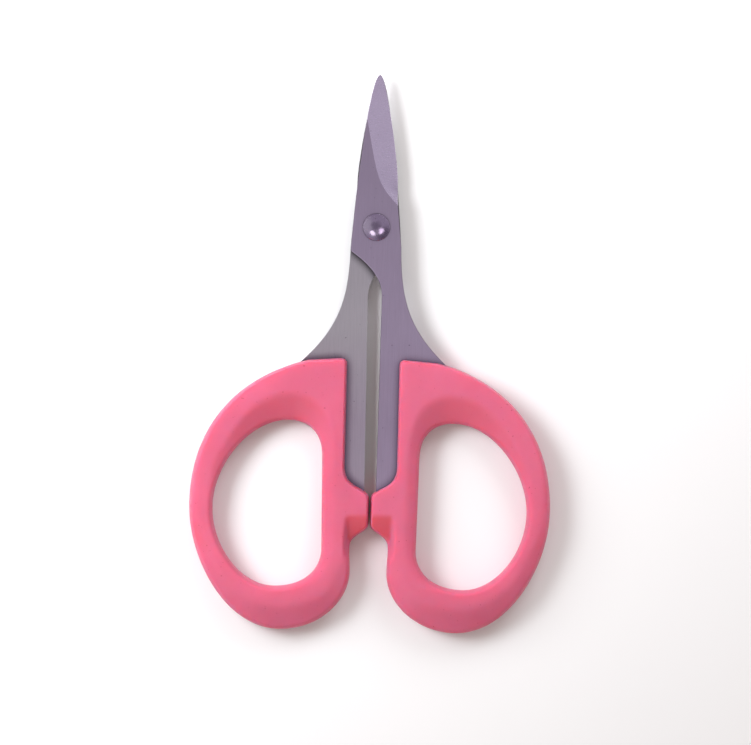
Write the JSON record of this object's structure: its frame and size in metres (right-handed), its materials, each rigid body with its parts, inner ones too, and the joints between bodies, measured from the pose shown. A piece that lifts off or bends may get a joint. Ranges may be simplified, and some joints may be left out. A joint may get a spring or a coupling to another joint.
{
  "type": "small pointed snips",
  "caption": "Small pointed floral snips: overlapping stamped steel blades on a rivet, each with a moulded plastic finger loop and a closing stop.",
  "frame": {"origin": "the middle of the closed tool's box: on its long axis, midway between the blades, 25.1 mm from the rivet's axis towards the loops", "axes": "lying flat and closed: +Y towards the points, +X towards the loop of the front blade's half, +Z out of the side that shows the rivet's domed head"},
  "size_m": [0.072, 0.1112, 0.006],
  "materials": {
    "blade_steel": "satin",
    "rivet_steel": "gloss",
    "handle_plastic": "satin"
  },
  "bodies": {
    "front_half": {"front_blade": "blade_steel", "right_handle": "handle_plastic", "pivot_rivet": "rivet_steel"},
    "back_half": {"back_blade": "blade_steel", "left_handle": "handle_plastic"}
  },
  "joints": [
    {"name": "blade_pivot", "type": "hinge", "parent": "front_half", "child": "back_half", "pos_m": [0, 0.0251, 0], "axis": [0, 0, -1], "range_deg": [0, 150]}
  ]
}
